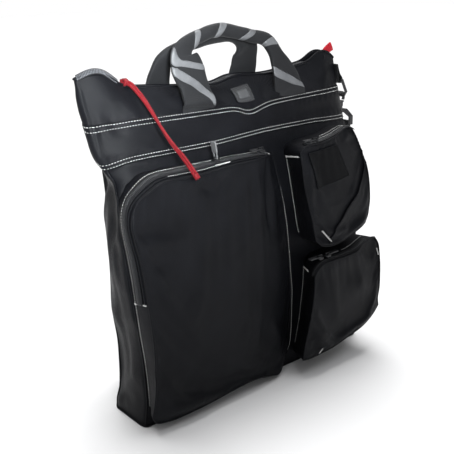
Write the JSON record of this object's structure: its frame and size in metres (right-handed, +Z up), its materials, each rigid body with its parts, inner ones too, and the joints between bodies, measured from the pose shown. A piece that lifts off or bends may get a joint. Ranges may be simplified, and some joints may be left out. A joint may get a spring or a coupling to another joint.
{
  "type": "flight bag",
  "caption": "Soft upright flight tote with a zipped top, twin webbing handles, a bellows pocket, stacked box pockets, a cord pull and a clip-on shoulder strap.",
  "frame": {"origin": "centre of the flat base, on the surface the bag stands on", "axes": "+X to the bag's right as seen from its front, +Y to its back, +Z up; the pockets face -Y"},
  "size_m": [0.4479, 0.1807, 0.474],
  "materials": {
    "shell_nylon": "black nylon twill with a soft sheen",
    "webbing": "black ribbed webbing",
    "lining": "quilted padded lining",
    "board": "matt plastic board",
    "zip_tape": "woven tape",
    "zip_chain": "moulded coil",
    "black_metal": "black enamel",
    "bright_metal": "bright steel",
    "puller_tab": "grey moulded tab",
    "red_cord": "woven red cord",
    "label_rubber": "plain rubber patch",
    "hook_loop": "napped loop tape",
    "buckle_plastic": "matt acetal"
  },
  "bodies": {
    "root": {"front_panel": "shell_nylon", "front_band": "shell_nylon", "front_yoke": "shell_nylon", "back_panel": "shell_nylon", "back_band": "shell_nylon", "back_yoke": "shell_nylon", "base_panel": "shell_nylon", "left_gusset": "shell_nylon", "right_gusset": "shell_nylon", "base_stiffener": "board", "padded_divider": "lining", "main_zip_tape": "zip_tape", "main_zip_chain": "zip_chain", "zip_ear_left": "shell_nylon", "zip_ear_right": "shell_nylon", "zip_end_tab": "red_cord", "big_pocket_face": "shell_nylon", "big_pocket_gusset": "shell_nylon", "big_pocket_zip": "zip_tape", "upper_pocket_gusset": "shell_nylon", "upper_pocket_face": "shell_nylon", "upper_pocket_zip": "zip_tape", "slant_pocket_panel": "shell_nylon", "hook_loop_patch": "hook_loop", "lower_pocket_gusset": "shell_nylon", "lower_pocket_face": "shell_nylon", "lower_pocket_zip": "zip_tape", "label_patch": "label_rubber", "ring_tab_right": "webbing", "ring_tab_left": "webbing", "strap_right": "webbing", "strap_left": "webbing", "strap_adjuster": "buckle_plastic"},
    "main_slider": {"main_slider": "black_metal", "pull_cord": "red_cord"},
    "main_pull": {"main_pull_ring": "bright_metal"},
    "front_handle": {"front_handle": "webbing", "front_grip": "webbing"},
    "back_handle": {"back_handle": "webbing", "back_grip": "webbing"},
    "big_slider_left": {"big_slider_left": "black_metal"},
    "big_puller_left": {"big_puller_left": "puller_tab"},
    "big_slider_right": {"big_slider_right": "black_metal"},
    "big_puller_right": {"big_puller_right": "black_metal"},
    "upper_slider": {"upper_slider": "black_metal"},
    "upper_puller": {"upper_puller": "puller_tab"},
    "lower_slider_left": {"lower_slider_left": "black_metal"},
    "lower_puller_left": {"lower_puller_left": "black_metal"},
    "lower_slider_right": {"lower_slider_right": "black_metal"},
    "lower_puller_right": {"lower_puller_right": "black_metal"},
    "right_ring": {"d_ring_right": "black_metal", "swivel_right": "black_metal"},
    "right_hook": {"hook_right": "black_metal"},
    "right_gate": {"hook_gate_right": "bright_metal"},
    "left_ring": {"d_ring_left": "black_metal", "swivel_left": "black_metal"},
    "left_hook": {"hook_left": "black_metal"},
    "left_gate": {"hook_gate_left": "bright_metal"}
  },
  "joints": [
    {"name": "main_slide", "type": "slide", "parent": "root", "child": "main_slider", "axis": [1, 0, 0], "range_m": [0, 0.32], "deforming": ["pull_cord"]},
    {"name": "main_pull_flip", "type": "hinge", "parent": "main_slider", "child": "main_pull", "pos_m": [-0.172, 0.036, 0.41567], "axis": [0, -1, 0], "range_deg": [0, 110]},
    {"name": "front_handle_fold", "type": "hinge", "parent": "root", "child": "front_handle", "pos_m": [0, -0.009, 0.3772], "axis": [1, 0, 0], "range_deg": [0, 115]},
    {"name": "back_handle_fold", "type": "hinge", "parent": "root", "child": "back_handle", "pos_m": [0, 0.0584, 0.3773], "axis": [-1, 0, 0], "range_deg": [0, 115]},
    {"name": "big_slide_left", "type": "slide", "parent": "root", "child": "big_slider_left", "axis": [1, 0, 0], "range_m": [-0.085, 0.045]},
    {"name": "big_pull_left_flip", "type": "hinge", "parent": "big_slider_left", "child": "big_puller_left", "pos_m": [-0.071, -0.0342, 0.32207], "axis": [0, -0.9993, 0.0382], "range_deg": [-95, 75]},
    {"name": "big_slide_right", "type": "slide", "parent": "root", "child": "big_slider_right", "axis": [1, 0, 0], "range_m": [-0.014, 0]},
    {"name": "big_pull_right_flip", "type": "hinge", "parent": "big_slider_right", "child": "big_puller_right", "pos_m": [0.002, -0.0342, 0.32207], "axis": [0, -0.9993, 0.0382], "range_deg": [-175, 0]},
    {"name": "upper_slide", "type": "slide", "parent": "root", "child": "upper_slider", "axis": [1, 0, 0], "range_m": [0, 0.067]},
    {"name": "upper_pull_flip", "type": "hinge", "parent": "upper_slider", "child": "upper_puller", "pos_m": [0.074, -0.05803, 0.32699], "axis": [0, -0.9993, 0.0382], "range_deg": [-175, 0]},
    {"name": "lower_slide_left", "type": "slide", "parent": "root", "child": "lower_slider_left", "axis": [1, 0, 0], "range_m": [0, 0.004]},
    {"name": "lower_pull_left_flip", "type": "hinge", "parent": "lower_slider_left", "child": "lower_puller_left", "pos_m": [0.077, -0.06814, 0.16726], "axis": [0, -0.9993, 0.0382], "range_deg": [-40, 0]},
    {"name": "lower_slide_right", "type": "slide", "parent": "root", "child": "lower_slider_right", "axis": [1, 0, 0], "range_m": [0, 0.054]},
    {"name": "lower_pull_right_flip", "type": "hinge", "parent": "lower_slider_right", "child": "lower_puller_right", "pos_m": [0.092, -0.06814, 0.16726], "axis": [0, -0.9993, 0.0382], "range_deg": [0, 40]},
    {"name": "right_ring_swing", "type": "hinge", "parent": "root", "child": "right_ring", "pos_m": [0.213, 0.036, 0.381], "axis": [0, -1, 0], "range_deg": [-5, 30], "deforming": ["strap_right"]},
    {"name": "right_hook_turn", "type": "hinge", "parent": "right_ring", "child": "right_hook", "pos_m": [0.22526, 0.036, 0.33759], "axis": [0, 0, 1], "range_deg": [-20, 20]},
    {"name": "right_gate_open", "type": "hinge", "parent": "right_hook", "child": "right_gate", "pos_m": [0.23146, 0.036, 0.35029], "axis": [0, -1, 0], "range_deg": [0, 8], "stiffness_Nm_per_rad": 0.005},
    {"name": "left_ring_swing", "type": "hinge", "parent": "root", "child": "left_ring", "pos_m": [-0.15, 0.059, 0.381], "axis": [1, 0, 0], "range_deg": [0, 30], "deforming": ["strap_left"]},
    {"name": "left_hook_turn", "type": "hinge", "parent": "left_ring", "child": "left_hook", "pos_m": [-0.15, 0.06599, 0.33557], "axis": [0, 0, 1], "range_deg": [-20, 20]},
    {"name": "left_gate_open", "type": "hinge", "parent": "left_hook", "child": "left_gate", "pos_m": [-0.15, 0.07219, 0.34827], "axis": [1, 0, 0], "range_deg": [0, 8], "stiffness_Nm_per_rad": 0.005}
  ]
}
